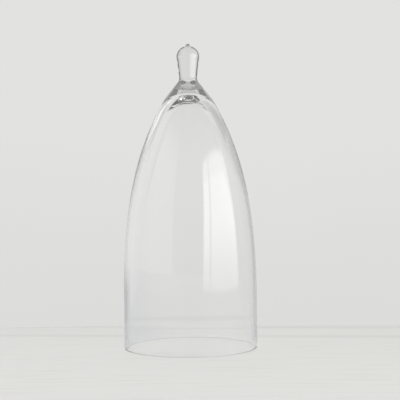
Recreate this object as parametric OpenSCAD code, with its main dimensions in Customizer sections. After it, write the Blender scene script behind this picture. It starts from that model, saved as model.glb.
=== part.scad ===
// Bell jar dome: a tall blown glass bell with a solid crown and a solid hand knob.
// Sizes are in millimetres. The rim stands on Z = 0 and the bell's axis is Z.

/* [Bell] */

// Outside diameter of the straight skirt
bell_d = 170; // [150:1:195]
// Thickness of the blown wall, below the height where it thickens to the crown
wall_t = 3.5; // [2.6:0.1:5]
// Height of the straight skirt above the rim
skirt_h = 80; // [56:1:104]
// Height of the shoulder above the rim
shoulder_z = 317; // [280:1:356]
// Outside diameter of the shoulder
shoulder_d = 62.2; // [56:0.2:70]
// Lean of the wall where the lower sweep meets the upper one, degrees from upright
mid_lean = 11.2; // [9.8:0.2:12.6]
// Lean of the wall at the shoulder, degrees from upright
shoulder_lean = 30; // [28:0.5:32]
// Radius of the fire-polished edges of the rim
rim_round = 1; // [0.5:0.1:1.2]

/* [Crown] */

// Rise of the domed seat above the shoulder
seat_rise = 5.5; // [4:0.5:9]
// Thickness of the crown on the axis
crown_t = 5.5; // [4:0.5:9]
// Radius of the domed ceiling inside
ceiling_r = 30; // [27:1:36]
// Height above the skirt where the wall starts to thicken
waist_up = 99.5; // [88:0.5:110]
// Depth below the shoulder where the inside turns into the vault under the ceiling
vault_drop = 28.5; // [24:0.5:33]
// Lean of the inside there, degrees from upright
vault_lean = 30; // [28:0.5:32]
// Radius of the vault
vault_r = 118.5; // [104:0.5:136]
// Lean of the boss's cone, degrees from upright
boss_lean = 38.5; // [35:0.5:46]
// Radius of the hollow curve below the neck
neck_round = 3.5; // [2.5:0.5:7]

/* [Knob] */

// Diameter of the joint between the boss and the knob
neck_d = 25; // [21:0.2:28]
// Distance that the knob's foot flares out to that joint
foot_flare = 1.4; // [0.8:0.1:2]
// Radius of the hollow curve above the knob's foot
foot_round = 8; // [5:0.5:11]
// Height of the knob's widest ring above the joint
head_up = 30.6; // [24:0.2:40]
// Diameter of the knob's round head
head_d = 29.5; // [26:0.5:36]
// Diameter of the nib on the head
nib_d = 5.2; // [4:0.2:8]
// Height of the nib above the head
nib_h = 1.5; // [0.8:0.1:1.9]

/* [Hidden] */

$fn = 240;

// Whole microns, so that two profiles that share an edge share it exactly
function micron(x) = round(x * 1000) / 1000;

bell_r = bell_d / 2;
mouth_r = bell_r - wall_t;
shoulder_r = shoulder_d / 2;
neck_r = neck_d / 2;
head_r = head_d / 2;
nib_r = nib_d / 2;

// The flank is two arcs: the lower one leaves the upright skirt, the upper one ends on
// the shoulder. Their radii follow from the leans. The hip is the faint turn between them.
hip = 0.4;
hip_lean = mid_lean + hip;
flank_in = bell_r - shoulder_r;
flank_up = shoulder_z - skirt_h;
lower_in = 1 - cos(mid_lean);
lower_up = sin(mid_lean);
upper_in = cos(hip_lean) - cos(shoulder_lean);
upper_up = sin(shoulder_lean) - sin(hip_lean);
flank_det = lower_in * upper_up - upper_in * lower_up;
lower_r = micron((flank_in * upper_up - upper_in * flank_up) / flank_det);
upper_r = micron((lower_in * flank_up - lower_up * flank_in) / flank_det);
lower_c = [bell_r - lower_r, skirt_h];
hip_z = skirt_h + lower_r * sin(mid_lean);
upper_c = lower_c + lower_r * [cos(mid_lean), sin(mid_lean)] - upper_r * [cos(hip_lean), sin(hip_lean)];

// The boss sits on a spherical seat that runs through the shoulder.
seat_z = shoulder_z + seat_rise;
seat_r = micron((shoulder_r * shoulder_r + seat_rise * seat_rise) / (2 * seat_rise));
seat_c = [0, seat_z - seat_r];
ceiling_z = seat_z - crown_t;
ceiling_c = [0, ceiling_z - ceiling_r];

// The inside leaves the even wall at the waist and leans in more than the outside does, by a
// sweep and then a tighter vault, so that the glass thickens all the way to the crown.
turn = 1;
waist_lean = asin(waist_up / (lower_r - wall_t));
waist = lower_c + (lower_r - wall_t) * [cos(waist_lean), sin(waist_lean)];
sweep_up = shoulder_z - vault_drop - waist[1];
sweep_r = micron(sweep_up / (sin(vault_lean) - sin(waist_lean + turn)));
sweep_c = waist - sweep_r * [cos(waist_lean + turn), sin(waist_lean + turn)];
vault = sweep_c + sweep_r * [cos(vault_lean), sin(vault_lean)];
vault_c = vault - vault_r * [cos(vault_lean + turn), sin(vault_lean + turn)];

// The boss's cone runs into the hollow of the neck.
hollow_r = neck_r + neck_round * (1 - cos(boss_lean));
hollow_z = shoulder_z + (shoulder_r - hollow_r) / tan(boss_lean);
neck_z = micron(hollow_z + neck_round * sin(boss_lean));
skirt_of_boss = 2;

// The knob's stem is a cone that runs into its round head.
head_z = neck_z + head_up;
root_r = neck_r - foot_flare;
stem_lean = asin(head_r / norm([head_up, root_r])) - atan2(root_r, head_up);
stem_n = [cos(stem_lean), -sin(stem_lean)];
stem_t = [sin(stem_lean), cos(stem_lean)];
foot_s = foot_flare * cos(stem_lean);
foot_c = [neck_r, neck_z] + (foot_round - foot_s) * stem_n
         + sqrt(2 * foot_round * foot_s - foot_s * foot_s) * stem_t;
foot_top = foot_c - foot_round * stem_n;

// Depth by which a hollow or a head bites into its neighbour's straight side
bite = 0.01;
stem_top = [0, head_z] + (head_r - bite) * stem_n;

// Rectangle of a profile, from its low corner to its high corner
module block(low, high) {
    translate(low) square(high - low);
}

// Everything under a round roof: a disc, and all that lies below a height inside it
module roof(center, radius, below) {
    translate(center) circle(r = radius);
    block([-1, -1], [2 * bell_r, below]);
}

// Outline of the flank, set in from the outside by a distance
module flank(set_in) {
    block([0, rim_round], [bell_r - set_in, skirt_h]);
    intersection() {
        block([0, skirt_h], [2 * bell_r, seat_z + 1]);
        translate(lower_c) circle(r = lower_r - set_in);
        roof(upper_c, upper_r - set_in, hip_z - set_in * sin(mid_lean) - 3);
    }
}

// Quarter of the rim's rounded edge, turned by an angle about its centre
module rim_quarter(center, turn) {
    translate(center) rotate(turn) intersection() {
        circle(r = rim_round);
        square(rim_round);
    }
}

module rim() {
    block([mouth_r + rim_round, 0], [bell_r - rim_round, rim_round]);
    rim_quarter([bell_r - rim_round, rim_round], 270);
    rim_quarter([mouth_r + rim_round, rim_round], 180);
}

// Blown bell, open below, with a ground rim and a thick crown
module dome_shell() {
    color([0.84, 0.89, 0.88, 0.4]) rotate_extrude() union() {
        difference() {
            intersection() {
                flank(0);
                roof(seat_c, seat_r, shoulder_z - 3);
            }
            intersection() {
                flank(wall_t);
                roof(sweep_c, sweep_r, waist[1] - 4);
                roof(vault_c, vault_r, vault[1] - 2);
                roof(ceiling_c, ceiling_r, ceiling_z - 0.45 * ceiling_r);
            }
        }
        rim();
    }
}

// Solid cone of glass gathered on the crown
module crown_boss() {
    color([0.78, 0.85, 0.84, 0.5]) rotate_extrude() difference() {
        polygon([[0, shoulder_z - skirt_of_boss],
                 [shoulder_r + skirt_of_boss * tan(boss_lean), shoulder_z - skirt_of_boss],
                 [hollow_r, hollow_z], [neck_r, neck_z], [0, neck_z]]);
        translate([neck_r + neck_round - bite, neck_z]) circle(r = neck_round);
        translate(seat_c) circle(r = seat_r);
    }
}

// Solid club-shaped knob with the nib left by the shears
module knob() {
    color([0.8, 0.87, 0.86, 0.5]) rotate_extrude() union() {
        difference() {
            polygon([[0, neck_z], [neck_r, neck_z], foot_top, stem_top, [0, stem_top[1]]]);
            translate(foot_c - [bite, 0]) circle(r = foot_round);
        }
        intersection() {
            block([0, neck_z], [2 * bell_r, head_z + 2 * head_r]);
            union() {
                translate([0, head_z]) circle(r = head_r);
                translate([0, head_z + head_r + nib_h - nib_r]) circle(r = nib_r);
            }
        }
    }
}

dome_shell();
crown_boss();
knob();
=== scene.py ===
"""Bell jar dome: blown glass bell, crown boss and knob on a pale painted floor."""

import math

import bpy
from bpy.props import FloatProperty, FloatVectorProperty, IntProperty, PointerProperty
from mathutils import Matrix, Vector


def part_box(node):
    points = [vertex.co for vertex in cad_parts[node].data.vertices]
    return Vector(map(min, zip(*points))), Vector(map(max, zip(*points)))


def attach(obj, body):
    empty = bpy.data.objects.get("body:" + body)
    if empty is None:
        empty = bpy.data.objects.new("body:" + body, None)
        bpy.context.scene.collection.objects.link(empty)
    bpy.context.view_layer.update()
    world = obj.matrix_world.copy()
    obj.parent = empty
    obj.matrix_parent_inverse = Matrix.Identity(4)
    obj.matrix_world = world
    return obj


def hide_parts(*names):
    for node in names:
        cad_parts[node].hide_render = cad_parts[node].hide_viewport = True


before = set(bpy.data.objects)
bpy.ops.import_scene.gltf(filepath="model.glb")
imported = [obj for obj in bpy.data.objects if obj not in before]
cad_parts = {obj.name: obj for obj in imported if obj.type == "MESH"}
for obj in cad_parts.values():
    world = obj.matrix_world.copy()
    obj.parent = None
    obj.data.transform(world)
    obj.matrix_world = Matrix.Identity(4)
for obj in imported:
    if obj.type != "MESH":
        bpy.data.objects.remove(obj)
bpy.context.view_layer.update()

bl_info = {
    "name": "Bell jar dome",
    "version": (1, 0, 0),
    "blender": (4, 5, 0),
    "location": "View3D > Sidebar > Bell jar",
    "description": "Models a blown glass bell jar dome around its CAD frame",
    "category": "Object",
}

# Places that the frame gives
SHELL_HIGH = Vector(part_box("dome_shell")[1])
BOSS_LOW, BOSS_HIGH = (Vector(corner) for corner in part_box("crown_boss"))
KNOB_HIGH = Vector(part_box("knob")[1])
BELL_RADIUS = SHELL_HIGH.x
SEAT_TOP = SHELL_HIGH.z
SHOULDER_RADIUS = BOSS_HIGH.x
SHOULDER_HEIGHT = BOSS_LOW.z
NECK_HEIGHT = BOSS_HIGH.z
KNOB_RADIUS = KNOB_HIGH.x
KNOB_TOP = KNOB_HIGH.z

# The photo's frame and what was measured in it, in pixels
PHOTO_SIZE = 400
FOCAL_PIXELS = 939.0
AXIS_COLUMN = 189.4
SENSOR_WIDTH = 36.0

# The photo's camera, in metres and radians
CAMERA_AWAY = 1.206
CAMERA_HEIGHT = 0.1879
CAMERA_ROLL = math.radians(0.63)

# The stage, in metres and radians
STAGE_WIDE = 8.0
FLOOR_DROP = 0.0002
WALL_BACK = 0.205
WALL_HIGH = 4.0
WINDOW_AWAY = 0.8
WINDOW_WIDE = 1.3
WINDOW_HIGH = 0.84
WINDOW_WAY = math.radians(55.0)

# Points along each stretch of the profiles
FLANK_STEPS = 64
CEILING_STEPS = 72
SKIRT_STEPS = 16
EDGE_STEPS = 6
SEAT_STEPS = 10
HOLLOW_STEPS = 8
CONE_STEPS = 12
STEM_STEPS = 14
HEAD_STEPS = 28
DISC_STEPS = 4
SHORT_STEPS = 2

# A face that is nearer to level than this is a joint of the boss or the knob
JOINT_TILT = 0.9
SMOOTH_ANGLE = math.radians(28.0)


class BellSizes(bpy.types.PropertyGroup):
    """Sizes of the glass that the frame doesn't give."""

    sides: IntProperty(
        name="Sides", description="Faces round the bell", default=192, min=48, max=256
    )
    wall: FloatProperty(
        name="Wall", description="Thickness of the blown wall", default=0.0035, unit="LENGTH"
    )
    wall_top: FloatProperty(
        name="Wall at the crown", description="Thickness of the wall at the crown",
        default=0.0036, unit="LENGTH"
    )
    skirt: FloatProperty(
        name="Skirt", description="Height of the straight skirt", default=0.0682, unit="LENGTH"
    )
    lower_pull: FloatProperty(
        name="Lower pull",
        description="How far the flank keeps the skirt's direction",
        default=0.1254,
        unit="LENGTH",
    )
    upper_pull: FloatProperty(
        name="Upper pull",
        description="How far the flank keeps the shoulder's direction",
        default=0.0645,
        unit="LENGTH",
    )
    shoulder_lean: FloatProperty(
        name="Shoulder lean",
        description="Lean of the wall at the shoulder",
        default=math.radians(29.8),
        subtype="ANGLE",
    )
    rim_round: FloatProperty(
        name="Rim round", description="Radius of the polished rim edges",
        default=0.001, unit="LENGTH"
    )
    ceiling: FloatProperty(
        name="Ceiling", description="Height of the ceiling inside", default=0.3167, unit="LENGTH"
    )
    ceiling_foot: FloatProperty(
        name="Ceiling foot",
        description="Height where the ceiling starts to leave the wall",
        default=0.1702,
        unit="LENGTH",
    )
    ceiling_pull: FloatProperty(
        name="Ceiling pull",
        description="How far the ceiling keeps the wall's direction",
        default=0.0381,
        unit="LENGTH",
    )
    ceiling_reach: FloatProperty(
        name="Ceiling reach",
        description="How much further the ceiling goes on from there",
        default=0.0400,
        unit="LENGTH",
    )
    ceiling_lean: FloatProperty(
        name="Ceiling lean",
        description="How far the ceiling leans in from the wall's direction there",
        default=0.0059,
        unit="LENGTH",
    )
    ceiling_push: FloatProperty(
        name="Ceiling push",
        description="How far the ceiling stays level at its middle",
        default=0.0114,
        unit="LENGTH",
    )
    ceiling_spread: FloatProperty(
        name="Ceiling spread",
        description="How much further the ceiling stays at that height",
        default=0.0180,
        unit="LENGTH",
    )
    boss_lean: FloatProperty(
        name="Boss lean", description="Lean of the boss's cone",
        default=math.radians(38.5), subtype="ANGLE"
    )
    neck_radius: FloatProperty(
        name="Neck", description="Radius of the joint under the knob", default=0.0125, unit="LENGTH"
    )
    neck_hollow: FloatProperty(
        name="Neck hollow", description="Radius of the hollow below the neck",
        default=0.0035, unit="LENGTH"
    )
    foot_flare: FloatProperty(
        name="Foot flare", description="How far the knob's foot flares",
        default=0.0014, unit="LENGTH"
    )
    foot_hollow: FloatProperty(
        name="Foot hollow", description="Radius of the hollow above the foot",
        default=0.008, unit="LENGTH"
    )
    head_rise: FloatProperty(
        name="Head rise", description="Height of the knob's top above its widest ring",
        default=0.0134, unit="LENGTH"
    )
    nib_radius: FloatProperty(
        name="Nib", description="Radius of the nib on the knob", default=0.0025, unit="LENGTH"
    )
    nib_rise: FloatProperty(
        name="Nib rise", description="Height of the nib above the knob",
        default=0.0029, unit="LENGTH"
    )
    nib_round: FloatProperty(
        name="Nib round", description="Radius of the nib's edge", default=0.0019, unit="LENGTH"
    )
    ripple: FloatProperty(
        name="Ripple", description="Unevenness of the blown wall", default=0.00006, unit="LENGTH"
    )


class BellLooks(bpy.types.PropertyGroup):
    """Colours and light of the glass and the stage."""

    glass_clear: FloatVectorProperty(
        name="Clear glass", description="Colour of clear glass",
        default=(0.997, 0.997, 1.000), subtype="COLOR"
    )
    glass_streak: FloatVectorProperty(
        name="Streaked glass", description="Colour of a streak",
        default=(0.990, 0.991, 0.995), subtype="COLOR"
    )
    glass_deep: FloatVectorProperty(
        name="Deep glass", description="Light that is left after many turns in the glass",
        default=(0.450, 0.450, 0.450), subtype="COLOR"
    )
    nib_dark: FloatVectorProperty(
        name="Dark nib", description="Dark grey of the sheared nib",
        default=(0.130, 0.125, 0.115), subtype="COLOR"
    )
    nib_pale: FloatVectorProperty(
        name="Pale nib", description="Pale grey of the sheared nib",
        default=(0.320, 0.305, 0.280), subtype="COLOR"
    )
    wall_paint: FloatVectorProperty(
        name="Wall", description="Colour of the painted wall",
        default=(0.760, 0.760, 0.745), subtype="COLOR"
    )
    wall_low: FloatVectorProperty(
        name="Wall foot", description="Colour low on the wall",
        default=(0.715, 0.715, 0.700), subtype="COLOR"
    )
    # Painted shade: the wall high above the bell, dark only as the glass sees it.
    wall_high: FloatVectorProperty(
        name="Wall above", description="Wall above the bell, as the glass shows it",
        default=(0.200, 0.200, 0.200), subtype="COLOR"
    )
    # Painted shade: dark places of the wall that only the glass sees, for the dark outlines and
    # bands in the knob and crown.
    wall_dark: FloatVectorProperty(
        name="Dark wall", description="Darkest places of the wall, which only the glass shows",
        default=(0.130, 0.130, 0.127), subtype="COLOR"
    )
    # Painted highlight: a bright wall patch that only the glass sees, for the bell's left shoulder.
    wall_highlight: FloatVectorProperty(
        name="Lit wall", description="Lit wall at the upper left, as the glass mirrors it",
        default=(1.200, 1.200, 1.220), subtype="COLOR"
    )
    # Painted shade: dark that only rays turned round in the solid crown see.
    crown_dark: FloatVectorProperty(
        name="Dark in the crown", description="Dark that the solid crown turns into view",
        default=(0.200, 0.200, 0.196), subtype="COLOR"
    )
    # Painted shade: the wall's right side as only the glass sees it.
    wall_right: FloatVectorProperty(
        name="Wall on the right", description="Wall on the right, as the glass mirrors it",
        default=(0.520, 0.520, 0.510), subtype="COLOR"
    )
    board_paint: FloatVectorProperty(
        name="Boards", description="Colour of the painted boards",
        default=(0.694, 0.692, 0.678), subtype="COLOR"
    )
    board_grain: FloatVectorProperty(
        name="Board grain", description="Colour of the boards' grain",
        default=(0.651, 0.648, 0.631), subtype="COLOR"
    )
    board_joint: FloatVectorProperty(
        name="Board joints", description="Colour of the joints between boards",
        default=(0.640, 0.638, 0.626), subtype="COLOR"
    )
    # Painted shadow: boards darker in a thin ring under the rim.
    board_rim_shadow: FloatVectorProperty(
        name="Boards under the rim", description="Boards shaded under the rim",
        default=(0.353, 0.353, 0.344), subtype="COLOR"
    )
    # Painted reflection: darker boards in front, seen only in the glass.
    board_front: FloatVectorProperty(
        name="Boards in front", description="Boards in front, as the glass mirrors them",
        default=(0.580, 0.580, 0.570), subtype="COLOR"
    )
    # Painted shade: boards behind the bell, dark only as the solid crown shows them.
    board_below: FloatVectorProperty(
        name="Boards below", description="Boards behind the bell, as its solid crown shows them",
        default=(0.380, 0.382, 0.382), subtype="COLOR"
    )
    # Painted shade: boards beside the bell, greyer only as the glass sees them.
    board_aside: FloatVectorProperty(
        name="Boards aside", description="Boards beside the bell, as the glass shows them",
        default=(0.620, 0.625, 0.634), subtype="COLOR"
    )
    # Painted shade and light: wall tones beside the bell that only the glass sees.
    shade_left: FloatVectorProperty(
        name="Left shade", description="Wall left of the bell, where the glass shows it",
        default=(0.840, 0.840, 0.830), subtype="COLOR"
    )
    shade_low: FloatVectorProperty(
        name="Low shade", description="Foot of the wall left of the bell, where the glass shows it",
        default=(0.600, 0.605, 0.615), subtype="COLOR"
    )
    shade_right: FloatVectorProperty(
        name="Right shade", description="Wall far right, as the glass shows it",
        default=(0.680, 0.680, 0.670), subtype="COLOR"
    )
    # Painted reflection: room tones that only the glass sees; they light nothing.
    room_front: FloatVectorProperty(
        name="Room in front", description="Room in front of the bell",
        default=(0.580, 0.580, 0.580), subtype="COLOR"
    )
    room_left: FloatVectorProperty(
        name="Room on the left", description="Room left of the bell",
        default=(1.000, 1.000, 1.000), subtype="COLOR"
    )
    room_right: FloatVectorProperty(
        name="Room on the right", description="Room right of the bell",
        default=(0.600, 0.600, 0.600), subtype="COLOR"
    )
    room_high: FloatVectorProperty(
        name="Room above", description="Room high above the bell",
        default=(0.180, 0.180, 0.180), subtype="COLOR"
    )
    window: FloatProperty(name="Window", description="Brightness of the window", default=4.2)
    light: FloatProperty(
        name="Light", description="Brightness of the soft light all round", default=1.38
    )


class Wire:
    """One shader socket, with the sums that a finish needs."""

    def __init__(self, finish, socket):
        self.finish = finish
        self.socket = socket

    def sum(self, operation, first, second):
        settings = {"operation": operation}
        return self.finish.node("ShaderNodeMath", settings, {0: first, 1: second}).out("Value")

    def __add__(self, other):
        return self.sum("ADD", self, other)

    def __radd__(self, other):
        return self.sum("ADD", other, self)

    def __sub__(self, other):
        return self.sum("SUBTRACT", self, other)

    def __rsub__(self, other):
        return self.sum("SUBTRACT", other, self)

    def __mul__(self, other):
        return self.sum("MULTIPLY", self, other)

    def __rmul__(self, other):
        return self.sum("MULTIPLY", other, self)

    def __pow__(self, other):
        return self.sum("POWER", self, other)


class Part:
    """One node of a finish."""

    def __init__(self, finish, node):
        self.finish = finish
        self.made = node

    def out(self, key=0):
        return Wire(self.finish, self.made.outputs[key])


class Finish:
    """A node tree that a finish is wired in."""

    def __init__(self, tree):
        self.tree = tree
        self.tree.nodes.clear()

    def node(self, kind, settings=None, sockets=None):
        """A node of a kind, with its settings first and then its sockets' values or links."""
        made = self.tree.nodes.new(kind)
        for name, value in (settings or {}).items():
            setattr(made, name, value)
        for key, value in (sockets or {}).items():
            if isinstance(value, Wire):
                self.tree.links.new(value.socket, made.inputs[key])
            else:
                made.inputs[key].default_value = value
        return Part(self, made)

    def blend(self, factor, first, second):
        """Colour between two colours."""
        sockets = {0: factor, 6: color4(first), 7: color4(second)}
        return self.node("ShaderNodeMix", {"data_type": "RGBA"}, sockets).out(2)

    def between(self, value, low, high):
        """Smooth step from 0 at low to 1 at high."""
        settings = {"interpolation_type": "SMOOTHSTEP"}
        sockets = {"Value": value, "From Min": low, "From Max": high}
        return self.node("ShaderNodeMapRange", settings, sockets).out("Result")

    def band(self, value, low, high, soft):
        """1 between two values, falling to 0 softly outside them."""
        rise = self.between(value, low - soft, low + soft)
        return rise * self.between(value, high + soft, high - soft)

    def beside(self, value, near, far):
        """0 near the middle, 1 far from it on either side."""
        return self.larger(self.between(value, near, far), self.between(value, -near, -far))

    def larger(self, first, second):
        """The larger of two values."""
        settings = {"operation": "MAXIMUM"}
        return self.node("ShaderNodeMath", settings, {0: first, 1: second}).out("Value")

    def mix_shader(self, factor, first, second):
        """Surface between two surfaces."""
        sockets = {0: factor, 1: first, 2: second}
        return self.node("ShaderNodeMixShader", None, sockets).out("Shader")

    def noise(self, place, scale, detail=2.0, roughness=0.5):
        """Noise with its patches, detail and roughness."""
        sockets = {"Vector": place, "Scale": scale, "Detail": detail, "Roughness": roughness}
        return self.node("ShaderNodeTexNoise", None, sockets).out("Fac")

    def stretched(self, place, scale):
        """Place with a scale of its own along each axis."""
        sockets = {"Vector": place, "Scale": scale}
        return self.node("ShaderNodeMapping", None, sockets).out("Vector")

    def end(self, kind, surface):
        """Output of the tree."""
        self.node(kind, None, {"Surface": surface})


def color4(value):
    """A colour with its fourth number, or a wire as it is."""
    if isinstance(value, Wire):
        return value
    return (value[0], value[1], value[2], 1.0)


def new_finish(name):
    """A new material and the finish that fills it."""
    material = bpy.data.materials.new(name)
    material.use_nodes = True
    return material, Finish(material.node_tree)


def blown_glass():
    """Blown glass: faint streaks along the bell, slow ripples and a little handling haze.

    Light that is held inside by many turns leaves the glass weaker, and shadows pass softly.
    """
    name = "blown_glass"
    if name in bpy.data.materials:
        return bpy.data.materials[name]
    looks = bpy.context.scene.bell_looks
    material, finish = new_finish(name)
    place = finish.node("ShaderNodeTexCoord").out("Object")
    streak = finish.noise(finish.stretched(place, (1.0, 1.0, 0.12)), 60.0, 3.0)
    ripple = finish.noise(finish.stretched(place, (1.0, 1.0, 0.5)), 16.0, 1.0)
    haze = finish.between(finish.noise(place, 35.0, 4.0), 0.55, 0.75)
    height = ripple + streak * 0.08
    bump = finish.node(
        "ShaderNodeBump", None, {"Strength": 0.02, "Distance": 0.002, "Height": height}
    ).out("Normal")
    glass = finish.node(
        "ShaderNodeBsdfPrincipled",
        None,
        {
            "Base Color": finish.blend(streak, looks.glass_clear, looks.glass_streak),
            "Roughness": haze * 0.01,
            "IOR": 1.5,
            "Transmission Weight": 1.0,
            "Normal": bump,
        },
    ).out("BSDF")
    passing = finish.node("ShaderNodeBsdfTransparent").out("BSDF")
    path = finish.node("ShaderNodeLightPath")
    soft = finish.larger(path.out("Is Shadow Ray"), path.out("Is Diffuse Ray"))
    deep = finish.node(
        "ShaderNodeBsdfTransparent", None, {"Color": color4(looks.glass_deep)}
    ).out("BSDF")
    held = finish.between(path.out("Glossy Depth"), 3.0, 4.0)
    body = finish.mix_shader(held, glass, deep)
    finish.end("ShaderNodeOutputMaterial", finish.mix_shader(soft, body, passing))
    return material


def sheared_glass():
    """Rough grey glass of the nib, where the shears cut the gather off."""
    name = "sheared_glass"
    if name in bpy.data.materials:
        return bpy.data.materials[name]
    looks = bpy.context.scene.bell_looks
    material, finish = new_finish(name)
    place = finish.node("ShaderNodeTexCoord").out("Object")
    grit = finish.noise(place, 900.0, 3.0)
    worn = finish.between(grit, 0.35, 0.65)
    rough = finish.node(
        "ShaderNodeBsdfPrincipled",
        None,
        {
            "Base Color": finish.blend(worn, looks.nib_dark, looks.nib_pale),
            "Roughness": 0.45 + grit * 0.2,
        },
    ).out("BSDF")
    finish.end("ShaderNodeOutputMaterial", rough)
    return material


def hot_joint():
    """Fused face between two gathers of the same glass, which light crosses unbent."""
    name = "hot_joint"
    if name in bpy.data.materials:
        return bpy.data.materials[name]
    material, finish = new_finish(name)
    passing = finish.node("ShaderNodeBsdfTransparent").out("BSDF")
    finish.end("ShaderNodeOutputMaterial", passing)
    return material


def seen_in_glass(finish):
    """1 for a ray that the glass mirrors or lets through, 0 for any other."""
    path = finish.node("ShaderNodeLightPath")
    return finish.larger(path.out("Is Glossy Ray"), path.out("Is Transmission Ray"))


def seen_mirrored(finish):
    """1 for a ray that the glass mirrors, 0 for any other."""
    path = finish.node("ShaderNodeLightPath")
    return path.out("Is Glossy Ray") * (1.0 - path.out("Is Transmission Ray"))


def seen_through_solid(finish):
    """1 for a ray that went straight through solid glass, as in the knob."""
    path = finish.node("ShaderNodeLightPath")
    return path.out("Is Transmission Ray") * finish.between(path.out("Ray Depth"), 3.0, 2.0)


def turned_in_wall(finish):
    """1 for a ray that the blown wall turned once inside, as at the bell's outline."""
    path = finish.node("ShaderNodeLightPath")
    once = finish.band(path.out("Ray Depth"), 2.5, 3.5, 0.3)
    return path.out("Is Transmission Ray") * once


def turned_in_solid(finish):
    """1 for a ray that solid glass turned round inside, as in the crown."""
    path = finish.node("ShaderNodeLightPath")
    solid = finish.between(path.out("Transmission Depth"), 3.0, 2.0)
    return path.out("Is Transmission Ray") * finish.between(path.out("Ray Depth"), 3.0, 4.0) * solid


def shaded_sides(finish, across, height, shown, glass):
    """Painted shade and light on the wall beside the bell, seen only in the glass, which bends them
    into its outline.

    Here and below, places across and heights are metres from the bell's axis and its rim.
    """
    looks = bpy.context.scene.bell_looks
    foot = finish.between(height, 0.10, 0.04)
    left = finish.blend(foot, looks.shade_left, looks.shade_low)
    shade = finish.blend(finish.between(across, -0.1, 0.1), left, looks.shade_right)
    reach = across + finish.between(height, 0.20, 0.36) * 0.06
    aside = finish.larger(finish.between(reach, 0.11, 0.17), finish.between(across, -0.11, -0.17))
    under = finish.between(height, 0.40, 0.36)
    shown = finish.blend(under * aside * glass, shown, shade)
    # Painted shade low on the left, seen only in the glass.
    low = finish.between(height, 0.14, 0.02) * finish.between(across, -0.02, -0.12) * 0.35
    return finish.blend(low * glass, shown, looks.shade_low)


def dark_in_crown(finish, across, height, shown, glass):
    """Painted shade: dark places on the wall that only the solid knob and crown bring into view."""
    looks = bpy.context.scene.bell_looks
    # Painted shade: the wall a little darker everywhere and dark beside the knob, seen only
    # straight through the solid knob, for its dark outline.
    through = seen_through_solid(finish)
    far = finish.beside(across, 0.18, 0.25)
    spread = finish.larger(far, finish.between(across, 0.02, 0.25) * 0.5)
    lower = finish.beside(across, 0.10, 0.18) * finish.between(height, 0.33, 0.27)
    spread = finish.larger(spread, lower * 0.5)
    sides = finish.between(height, 0.29, 0.17) * finish.beside(across, 0.04, 0.10)
    spread = finish.larger(spread, sides)
    spread = finish.larger(spread, finish.between(height, 0.20, 0.16) * 0.42)
    shown = finish.blend(finish.larger(spread, 0.13) * through, shown, looks.wall_dark)
    # Painted shade: the wall darker for rays that the solid crown turns round, for the crown's dark
    # sides.
    aslant = (across * across) ** 0.5 + (height - 0.2) * 0.6
    crown = finish.larger(finish.between(aslant, 0.055, 0.085), 0.43)
    crown = crown * finish.between(height, 0.42, 0.38)
    shown = finish.blend(crown * turned_in_solid(finish), shown, looks.crown_dark)
    # Painted shade: dark bands high on the wall, seen only in the glass.
    shelf = finish.band(across, -0.15, 0.01, 0.02) * finish.band(height, 0.53, 0.66, 0.02)
    faint = finish.band(across, 0.05, 0.17, 0.03) * finish.band(height, 0.58, 0.68, 0.02) * 0.4
    return finish.blend(finish.larger(shelf, faint) * glass, shown, looks.wall_dark)


def mirrored_wall(finish, across, height, shown):
    """What the bell's outside mirrors of the wall, as painted reflection that only the glass sees:
    lighter far left, darker right and above, and a painted highlight for the strip on its left
    shoulder.
    """
    looks = bpy.context.scene.bell_looks
    mirrored = seen_mirrored(finish)
    turned = turned_in_wall(finish)
    # Painted reflection, seen only in the glass: the wall lighter far left and darker on the right.
    shown = finish.blend(finish.between(across, -0.34, -0.48) * mirrored, shown, looks.room_left)
    shown = finish.blend(finish.between(across, 0.16, 0.30) * mirrored, shown, looks.wall_right)
    # Painted shade, seen only in the glass: dark wall above the bell and by the knob's left edge.
    above = finish.between(height, 0.45, 0.50) * (1.0 - finish.beside(across, 0.5, 0.8))
    edge = finish.band(across, -0.28, -0.185, 0.01) * finish.band(height, 0.355, 0.45, 0.01)
    above = finish.larger(above, edge)
    shown = finish.blend(above * mirrored * 0.8, shown, looks.wall_dark)
    # Painted shade, seen only through the bell's outline: a grey slope for its right shoulder.
    slope = finish.between(height - across * 0.45, 0.296, 0.312)
    slope = slope * finish.between(height, 0.56, 0.50) * finish.between(across, 0.03, 0.06)
    shown = finish.blend(slope * turned * 0.5, shown, looks.wall_right)
    # Painted highlight: a bright patch, seen only in the glass, that makes the strip on the bell's
    # left shoulder.
    lit = finish.band(across, -0.172, -0.10, 0.012) * finish.band(height, 0.330, 0.40, 0.01)
    near = finish.band(across, -0.14, -0.02, 0.012) * finish.band(height, 0.325, 0.40, 0.006)
    return finish.blend(finish.larger(lit * mirrored, near * turned), shown, looks.wall_highlight)


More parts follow.
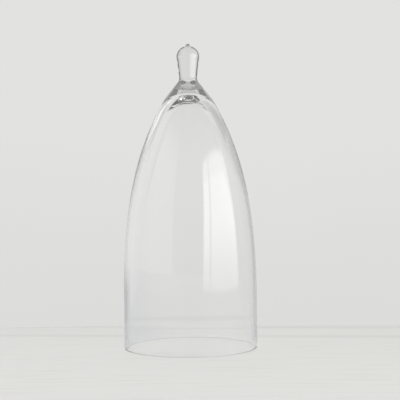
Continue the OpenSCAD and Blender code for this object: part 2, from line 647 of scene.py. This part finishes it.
def painted_wall():
    """Matt wall paint that shows at its own colour, and is seen only from the room; the glass alone
    sees painted shade, reflection and highlight on it.
    """
    looks = bpy.context.scene.bell_looks
    material, finish = new_finish("painted_wall")
    place = finish.node("ShaderNodeTexCoord").out("Object")
    parts = finish.node("ShaderNodeSeparateXYZ", None, {"Vector": place})
    across, height = parts.out("X"), parts.out("Z")
    cloud = finish.noise(place, 3.0, 3.0)
    rise = finish.between(height + (cloud - 0.5) * 0.12, -0.02, 0.32)
    paint = finish.blend(rise, looks.wall_low, looks.wall_paint)
    glass = seen_in_glass(finish)
    joint = finish.band(height, 0.0075, 0.0135, 0.002)
    shown = finish.blend(joint * glass * 0.6, paint, looks.board_joint)
    # Painted shade: the wall darker high up, seen only in the glass.
    shown = finish.blend(finish.between(height, 0.80, 1.05) * glass, shown, looks.wall_high)
    shown = shaded_sides(finish, across, height, shown, glass)
    shown = dark_in_crown(finish, across, height, shown, glass)
    color = mirrored_wall(finish, across, height, shown)
    glow = finish.node("ShaderNodeEmission", None, {"Color": color}).out("Emission")
    passing = finish.node("ShaderNodeBsdfTransparent").out("BSDF")
    back = finish.node("ShaderNodeNewGeometry").out("Backfacing")
    finish.end("ShaderNodeOutputMaterial", finish.mix_shader(back, glow, passing))
    return material


def painted_boards():
    """Pale painted boards with faint grain; painted shade darkens them behind the bell where the
    crown shows them.
    """
    looks = bpy.context.scene.bell_looks
    material, finish = new_finish("painted_boards")
    place = finish.node("ShaderNodeTexCoord").out("Object")
    grain = finish.noise(finish.stretched(place, (1.0, 14.0, 1.0)), 9.0, 5.0, 0.6)
    streak = finish.between(grain, 0.50, 0.68)
    paint = finish.blend(streak, looks.board_paint, looks.board_grain)
    parts = finish.node("ShaderNodeSeparateXYZ", None, {"Vector": place})
    across, back = parts.out("X"), parts.out("Y")
    path = finish.node("ShaderNodeLightPath")
    glass = seen_in_glass(finish)
    level = back + across * 0.095
    far_joint = finish.band(level, 0.173, 0.197, 0.006)
    near_joint = finish.band(level, 0.081, 0.105, 0.006)
    joints = finish.larger(far_joint, near_joint)
    paint = finish.blend(joints * (1.0 - glass), paint, looks.board_joint)
    bent_joint = finish.band(level, 0.164, 0.180, 0.006)
    paint = finish.blend(bent_joint * glass, paint, looks.board_joint)
    # Painted shade: boards beside the bell greyer, seen only in the glass.
    aside = finish.larger(finish.between(across, -0.01, -0.10), finish.between(across, 0.06, 0.16))
    turned = finish.larger(seen_mirrored(finish), turned_in_wall(finish))
    turned = finish.larger(turned, finish.between(path.out("Transmission Depth"), 2.0, 3.0))
    paint = finish.blend(aside * turned * glass, paint, looks.board_aside)
    radius = (across * across + back * back) ** 0.5
    # Painted contact shadow: a darker ring of boards under the rim.
    rim_shadow = finish.band(radius, BELL_RADIUS - 0.003, BELL_RADIUS, 0.0006)
    paint = finish.blend(rim_shadow, paint, looks.board_rim_shadow)
    # Painted reflection: the boards in front darker, seen only in the glass.
    front = finish.between(back, -0.02, -0.14) * (1.0 - finish.beside(across, 0.3, 0.8))
    shown = finish.blend(front * glass, paint, looks.board_front)
    # Painted shade: the boards behind the bell darker for rays that the crown turns or the glass
    # holds.
    held = finish.between(path.out("Glossy Depth"), 2.0, 3.0) * glass
    behind = finish.between(radius, 0.45, 0.30) * finish.between(back, -0.02, 0.02)
    below = finish.larger(turned_in_solid(finish), held) * behind
    color = finish.blend(below, shown, looks.board_below)
    bump = finish.node(
        "ShaderNodeBump", None, {"Strength": 0.2, "Distance": 0.001, "Height": grain}
    ).out("Normal")
    boards = finish.node(
        "ShaderNodeBsdfPrincipled", None, {"Base Color": color, "Roughness": 0.7, "Normal": bump}
    ).out("BSDF")
    finish.end("ShaderNodeOutputMaterial", boards)
    return material


def window_light():
    """Soft window of two panes on a card, which only the glass shows: a glowing card that lights
    nothing.
    """
    looks = bpy.context.scene.bell_looks
    material, finish = new_finish("window_light")
    chart = finish.node("ShaderNodeTexCoord").out("UV")
    parts = finish.node("ShaderNodeSeparateXYZ", None, {"Vector": chart})
    across = (parts.out("X") - 0.5) * WINDOW_WIDE
    up = parts.out("Y") * WINDOW_HIGH
    lean = 0.26
    slanted = across - up * lean
    left = finish.between(slanted, -0.60, -0.49)
    right = finish.between(across, 0.56, 0.47)
    ends = finish.between(up, 0.80, 0.68) * finish.between(up, 0.0, 0.035)
    bar_middle = -0.335
    bar_half = 0.05
    bar_left = finish.between(slanted, bar_middle, bar_middle - bar_half)
    bar_right = finish.between(slanted, bar_middle, bar_middle + bar_half)
    bar = finish.larger(bar_left, bar_right) * 0.55 + 0.45
    path = finish.node("ShaderNodeLightPath")
    straight = finish.between(path.out("Ray Depth"), 4.0, 3.0)
    faint = path.out("Is Transmission Ray") * straight * 0.38
    shown = left * right * ends * bar * finish.larger(seen_mirrored(finish), faint)
    rise = finish.between(up, -0.12, 0.38)
    low_share = 0.3
    bright = (looks.window,) * 3
    dim = (looks.window * low_share,) * 3
    color = finish.blend(rise, dim, bright)
    glow = finish.node("ShaderNodeEmission", None, {"Color": color}).out("Emission")
    passing = finish.node("ShaderNodeBsdfTransparent").out("BSDF")
    finish.end("ShaderNodeOutputMaterial", finish.mix_shader(shown, passing, glow))
    return material


def bezier(points, share):
    """Point on a curve drawn by any number of handles, and its direction."""
    while len(points) > 2:
        points = [start.lerp(end, share) for start, end in zip(points, points[1:])]
    return points[0].lerp(points[1], share), (points[1] - points[0]).normalized()


def bezier_path(points, count):
    """Points along a curve, without its first point."""
    return [bezier(points, step / count)[0] for step in range(1, count + 1)]


def arc_path(center, radius, first, last, count):
    """Points along an arc, angles from the outward direction, without its first point."""
    angles = [first + (last - first) * step / count for step in range(1, count + 1)]
    return [center + radius * Vector((math.cos(angle), math.sin(angle))) for angle in angles]


def line_path(start, end, count):
    """Points along a straight line, without its first point."""
    return [start.lerp(end, step / count) for step in range(1, count + 1)]


def flank_curve(sizes):
    """The curve of the bell's flank, from the skirt to the shoulder."""
    lean = sizes.shoulder_lean
    start = Vector((BELL_RADIUS, sizes.skirt))
    end = Vector((SHOULDER_RADIUS, SHOULDER_HEIGHT))
    pull = start + Vector((0.0, sizes.lower_pull))
    push = end + sizes.upper_pull * Vector((math.sin(lean), -math.cos(lean)))
    return start, pull, push, end


def seat_path():
    """Points over the crown's seat, from the shoulder to the axis."""
    rise = SEAT_TOP - SHOULDER_HEIGHT
    radius = (SHOULDER_RADIUS**2 + rise**2) / (2 * rise)
    center = Vector((0.0, SEAT_TOP - radius))
    first = math.atan2(SHOULDER_HEIGHT - center.y, SHOULDER_RADIUS)
    return arc_path(center, radius, first, math.pi / 2, SEAT_STEPS)


def shell_path(sizes):
    """Profile of the bell from the ceiling's middle, round the rim, to the seat's middle."""
    curve = flank_curve(sizes)
    wall = sizes.wall
    mouth = BELL_RADIUS - wall
    even = 0.10
    inside = []
    for step in range(FLANK_STEPS + 1):
        place, way = bezier(curve, step / FLANK_STEPS)
        share = min(1.0, max(0.0, (place.y - even) / (SHOULDER_HEIGHT - even)))
        thick = wall + (sizes.wall_top - wall) * share**2 * (3.0 - 2.0 * share)
        inner = place - thick * Vector((way.y, -way.x))
        if inner.y > sizes.ceiling_foot:
            break
        inside.append(inner)
    foot = inside[-1]
    foot_way = (foot - inside[-2]).normalized()
    apex = Vector((0.0, sizes.ceiling))
    pull = foot + sizes.ceiling_pull * foot_way
    inward = Vector((-foot_way.y, foot_way.x))
    reach = pull + sizes.ceiling_reach * foot_way + sizes.ceiling_lean * inward
    push = apex + Vector((sizes.ceiling_push, 0.0))
    spread = push + Vector((sizes.ceiling_spread, 0.0))
    ceiling = bezier_path([foot, pull, reach, spread, push, apex], CEILING_STEPS)
    path = list(reversed(inside + ceiling))
    rim = sizes.rim_round
    down = 1.5 * math.pi
    path += line_path(inside[0], Vector((mouth, rim)), SKIRT_STEPS)
    path += arc_path(Vector((mouth + rim, rim)), rim, math.pi, down, EDGE_STEPS)
    path += line_path(path[-1], Vector((BELL_RADIUS - rim, 0.0)), SHORT_STEPS)
    path += arc_path(Vector((BELL_RADIUS - rim, rim)), rim, down, 2 * math.pi, EDGE_STEPS)
    path += line_path(path[-1], curve[0], SKIRT_STEPS)
    path += bezier_path(curve, FLANK_STEPS)
    path += seat_path()
    return path


def boss_path(sizes):
    """Profile of the boss from the seat's middle, up its cone, to the joint's middle."""
    lean = sizes.boss_lean
    hollow = sizes.neck_hollow
    neck = Vector((sizes.neck_radius, NECK_HEIGHT))
    center = neck + Vector((hollow, 0.0))
    start = center - hollow * Vector((math.cos(lean), math.sin(lean)))
    ring = Vector((SHOULDER_RADIUS, SHOULDER_HEIGHT))
    path = list(reversed(seat_path())) + [ring]
    path += line_path(ring, start, CONE_STEPS)
    path += arc_path(center, hollow, math.pi + lean, math.pi, HOLLOW_STEPS)
    path += line_path(neck, Vector((0.0, NECK_HEIGHT)), DISC_STEPS)
    return path


def knob_path(sizes):
    """Profile of the knob from the joint's middle, over its head, to the nib."""
    radius = KNOB_RADIUS
    head = Vector((0.0, KNOB_TOP - sizes.nib_rise - sizes.head_rise))
    rise = head.y - NECK_HEIGHT
    root = sizes.neck_radius - sizes.foot_flare
    lean = math.asin(radius / math.hypot(rise, root)) - math.atan2(root, rise)
    out = Vector((math.cos(lean), -math.sin(lean)))
    along = Vector((math.sin(lean), math.cos(lean)))
    gap = sizes.foot_flare * math.cos(lean)
    foot = Vector((sizes.neck_radius, NECK_HEIGHT))
    hollow = sizes.foot_hollow
    center = foot + (hollow - gap) * out + math.sqrt(2 * hollow * gap - gap**2) * along
    first = math.atan2(foot.y - center.y, foot.x - center.x) % (2 * math.pi)
    joint = line_path(foot, Vector((0.0, NECK_HEIGHT)), DISC_STEPS)
    path = list(reversed(joint)) + [foot]
    path += arc_path(center, hollow, first, math.pi - lean, HOLLOW_STEPS)
    path += line_path(path[-1], head + radius * out, STEM_STEPS)
    path += arc_path(head, radius, -lean, 0.0, EDGE_STEPS)
    for point in arc_path(head, radius, 0.0, math.acos(sizes.nib_radius / radius), HEAD_STEPS):
        flat = (point.y - head.y) * sizes.head_rise / radius
        path.append(Vector((point.x, head.y + flat)))
    edge = sizes.nib_round
    corner = Vector((sizes.nib_radius - edge, KNOB_TOP - edge))
    path += line_path(path[-1], Vector((sizes.nib_radius, corner.y)), SHORT_STEPS)
    path += arc_path(corner, edge, 0.0, math.pi / 2, EDGE_STEPS)
    path += line_path(path[-1], Vector((0.0, KNOB_TOP)), SHORT_STEPS)
    return path


def deselect_all():
    """Leave edit mode and select nothing, the frame's nodes included."""
    if bpy.context.object and bpy.context.object.mode != "OBJECT":
        bpy.ops.object.mode_set(mode="OBJECT")
    bpy.ops.object.select_all(action="DESELECT")


def ring_indices(mesh, height, radius):
    """Points of one ring of a turned piece."""
    near = 1e-6
    found = []
    for point in mesh.vertices:
        out = math.hypot(point.co.x, point.co.y)
        if abs(point.co.z - height) < near and abs(out - radius) < near:
            found.append(point.index)
    return found


def turn_piece(name, path, sides):
    """Turn a profile that runs from pole to pole, ring by ring, into a closed piece."""
    deselect_all()
    rings = path[1:-1]
    start = rings[0]
    bpy.ops.mesh.primitive_circle_add(
        vertices=sides, radius=start.x, fill_type="NOTHING", location=(0.0, 0.0, start.y)
    )
    piece = bpy.context.object
    piece.name = name
    piece.data.name = name
    bpy.ops.object.transform_apply(location=True, rotation=True, scale=True)
    bpy.ops.object.mode_set(mode="EDIT")
    bpy.ops.mesh.select_mode(type="VERT")
    bpy.ops.mesh.select_all(action="SELECT")
    for below, above in zip(rings, rings[1:]):
        rise = (0.0, 0.0, above.y - below.y)
        bpy.ops.mesh.extrude_region_move(TRANSFORM_OT_translate={"value": rise})
        grow = above.x / below.x
        bpy.ops.transform.resize(value=(grow, grow, 1.0), center_override=(0.0, 0.0, above.y))
    close_pole(rings[-1], path[-1])
    bpy.ops.object.mode_set(mode="OBJECT")
    for index in ring_indices(piece.data, start.y, start.x):
        piece.data.vertices[index].select = True
    bpy.ops.object.mode_set(mode="EDIT")
    close_pole(start, path[0])
    bpy.ops.mesh.select_all(action="SELECT")
    bpy.ops.mesh.remove_doubles(threshold=1e-6)
    bpy.ops.mesh.normals_make_consistent(inside=False)
    bpy.ops.mesh.select_all(action="DESELECT")
    bpy.ops.object.mode_set(mode="OBJECT")
    return piece


def close_pole(ring, pole):
    """Draw the selected ring out to one point on the axis."""
    rise = (0.0, 0.0, pole.y - ring.y)
    bpy.ops.mesh.extrude_region_move(TRANSFORM_OT_translate={"value": rise})
    bpy.ops.mesh.merge(type="CENTER")
    bpy.ops.mesh.select_all(action="DESELECT")


def dress(piece, fused):
    """Give a piece its glass, and the fused finish on the faces that another piece meets."""
    piece.data.materials.append(blown_glass())
    piece.data.materials.append(hot_joint())
    for face in piece.data.polygons:
        face.material_index = 1 if fused(face) else 0
    bpy.ops.object.shade_smooth_by_angle(angle=SMOOTH_ANGLE)


def uneven_wall(piece, amount):
    """Slow hand-blown unevenness, fading out at the rim and at the joints."""
    group = piece.vertex_groups.new(name="free_wall")
    fade = 0.02
    lowest = 0.002
    highest = SHOULDER_HEIGHT - 0.004
    for point in piece.data.vertices:
        low = min(1.0, max(0.0, (point.co.z - lowest) / fade))
        high = min(1.0, max(0.0, (highest - point.co.z) / fade))
        group.add([point.index], low * high, "REPLACE")
    texture = bpy.data.textures.new("blown_ripple", type="CLOUDS")
    texture.noise_scale = 0.07
    texture.noise_depth = 1
    modifier = piece.modifiers.new("blown_ripple", type="DISPLACE")
    modifier.texture = texture
    modifier.texture_coords = "LOCAL"
    modifier.mid_level = 0.5
    modifier.strength = amount
    modifier.vertex_group = group.name
    bpy.ops.object.modifier_apply(modifier=modifier.name)


def place_piece(piece, node):
    """Let a piece ride on the part's body and stand for its CAD node."""
    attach(piece, "root")
    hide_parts(node)


class BELL_OT_shell(bpy.types.Operator):
    """Blow the bell: skirt, flank, crown and polished rim"""

    bl_idname = "bell.shell"
    bl_label = "Blown bell"

    def execute(self, context):
        sizes = context.scene.bell_sizes
        piece = turn_piece("blown_bell", shell_path(sizes), sizes.sides)
        uneven_wall(piece, sizes.ripple)
        seat = SHOULDER_HEIGHT - 1e-5
        dress(piece, lambda face: face.normal.z > 0.0 and all(
            piece.data.vertices[index].co.z > seat for index in face.vertices
        ))
        place_piece(piece, "dome_shell")
        return {"FINISHED"}


class BELL_OT_boss(bpy.types.Operator):
    """Gather the solid boss on the crown"""

    bl_idname = "bell.boss"
    bl_label = "Crown boss"

    def execute(self, context):
        sizes = context.scene.bell_sizes
        piece = turn_piece("crown_gather", boss_path(sizes), sizes.sides // 2)
        dress(piece, lambda face: abs(face.normal.z) > JOINT_TILT)
        place_piece(piece, "crown_boss")
        return {"FINISHED"}


class BELL_OT_knob(bpy.types.Operator):
    """Draw the club-shaped knob with its nib"""

    bl_idname = "bell.knob"
    bl_label = "Hand knob"

    def execute(self, context):
        sizes = context.scene.bell_sizes
        piece = turn_piece("hand_knob", knob_path(sizes), sizes.sides // 2)
        dress(piece, lambda face: face.normal.z < -JOINT_TILT)
        piece.data.materials.append(sheared_glass())
        cut_share = 0.7
        nib_foot = KNOB_TOP - cut_share * sizes.nib_rise
        for face in piece.data.polygons:
            if face.center.z > nib_foot:
                face.material_index = 2
        place_piece(piece, "knob")
        return {"FINISHED"}


class BELL_OT_stage(bpy.types.Operator):
    """Set the floor, the wall, the window light and the camera"""

    bl_idname = "bell.stage"
    bl_label = "Stage"

    def execute(self, context):
        floor = stage_plane("painted_boards", STAGE_WIDE, STAGE_WIDE, painted_boards())
        lay_plane(floor, (0.0, 0.0, -FLOOR_DROP), (0.0, 0.0, 0.0))
        wall = stage_plane("painted_wall", STAGE_WIDE, WALL_HIGH, painted_wall())
        lay_plane(wall, (0.0, WALL_BACK, WALL_HIGH / 2), (math.pi / 2, 0.0, 0.0))
        window_card()
        room_light(context.scene)
        photo_camera(context.scene)
        return {"FINISHED"}


def stage_plane(name, wide, high, material):
    """A plain rectangle of the stage."""
    deselect_all()
    bpy.ops.mesh.primitive_plane_add(size=1.0)
    plane = bpy.context.object
    plane.name = name
    plane.scale = (wide, high, 1.0)
    bpy.ops.object.transform_apply(location=True, rotation=True, scale=True)
    plane.data.materials.append(material)
    return plane


def lay_plane(plane, place, turn):
    """Turn a stage plane and put it in its place."""
    plane.rotation_euler = turn
    plane.location = place
    bpy.ops.object.transform_apply(location=True, rotation=True, scale=True)


def window_card():
    """The window's card, in a direction counted from the camera's side to the right."""
    card = stage_plane("window", WINDOW_WIDE, WINDOW_HIGH, window_light())
    right = WINDOW_AWAY * math.sin(WINDOW_WAY)
    front = WINDOW_AWAY * math.cos(WINDOW_WAY)
    lay_plane(card, (right, -front, WINDOW_HIGH / 2), (math.pi / 2, 0.0, WINDOW_WAY))


def room_light(scene):
    """Soft light all round, and the plain room that the glass mirrors, whose tones are painted
    reflection that lights nothing.
    """
    looks = scene.bell_looks
    world = bpy.data.worlds.new("room")
    scene.world = world
    world.use_nodes = True
    finish = Finish(world.node_tree)
    way = finish.node("ShaderNodeTexCoord").out("Generated")
    parts = finish.node("ShaderNodeSeparateXYZ", None, {"Vector": way})
    front = parts.out("Y") * -1.0
    turn = finish.node(
        "ShaderNodeMath", {"operation": "ARCTAN2"}, {0: parts.out("X"), 1: front}
    ).out("Value")
    left = finish.between(turn, math.radians(-28.0), math.radians(-32.0))
    right = finish.between(turn, math.radians(24.0), math.radians(30.0))
    high_from = math.sin(math.radians(38.0))
    high_full = math.sin(math.radians(62.0))
    high = finish.between(parts.out("Z"), high_from, high_full)
    # Painted reflection: room tones for glass rays, darker in front and on the right, lighter on
    # the left, dark above.
    room = finish.blend(left, looks.room_front, looks.room_left)
    room = finish.blend(right, room, looks.room_right)
    room = finish.blend(high, room, looks.room_high)
    glass = seen_in_glass(finish)
    seen = finish.larger(finish.node("ShaderNodeLightPath").out("Is Camera Ray"), glass)
    soft = (looks.light,) * 3
    shown = finish.blend(glass, looks.wall_paint, room)
    color = finish.blend(seen, soft, shown)
    background = finish.node("ShaderNodeBackground", None, {"Color": color}).out("Background")
    finish.end("ShaderNodeOutputWorld", background)


def photo_camera(scene):
    """The photo's camera: level, at the bell's middle height, turned a little about its view."""
    aside = (PHOTO_SIZE / 2 - AXIS_COLUMN) * CAMERA_AWAY / FOCAL_PIXELS
    data = bpy.data.cameras.new("photo_camera")
    data.sensor_width = SENSOR_WIDTH
    data.lens = FOCAL_PIXELS / PHOTO_SIZE * SENSOR_WIDTH
    camera = bpy.data.objects.new("photo_camera", data)
    scene.collection.objects.link(camera)
    camera.location = (aside, -CAMERA_AWAY, CAMERA_HEIGHT)
    camera.rotation_euler = (math.pi / 2, CAMERA_ROLL, 0.0)
    scene.camera = camera
    scene.view_settings.view_transform = "Standard"


class BELL_PT_panel(bpy.types.Panel):
    """Sizes, looks and steps of the bell jar"""

    bl_idname = "BELL_PT_panel"
    bl_label = "Bell jar"
    bl_space_type = "VIEW_3D"
    bl_region_type = "UI"
    bl_category = "Bell jar"

    def draw(self, context):
        column = self.layout.column()
        for operator in OPERATORS:
            column.operator(operator.bl_idname)
        for group in (context.scene.bell_sizes, context.scene.bell_looks):
            for name in group.__annotations__:
                column.prop(group, name)


OPERATORS = (BELL_OT_shell, BELL_OT_boss, BELL_OT_knob, BELL_OT_stage)
CLASSES = (BellSizes, BellLooks) + OPERATORS + (BELL_PT_panel,)


def register():
    for item in CLASSES:
        bpy.utils.register_class(item)
    bpy.types.Scene.bell_sizes = PointerProperty(type=BellSizes)
    bpy.types.Scene.bell_looks = PointerProperty(type=BellLooks)


def unregister():
    del bpy.types.Scene.bell_looks
    del bpy.types.Scene.bell_sizes
    for item in reversed(CLASSES):
        bpy.utils.unregister_class(item)


def main():
    register()
    bpy.ops.bell.shell()
    bpy.ops.bell.boss()
    bpy.ops.bell.knob()
    bpy.ops.bell.stage()
    deselect_all()


if __name__ == "__main__":
    main()
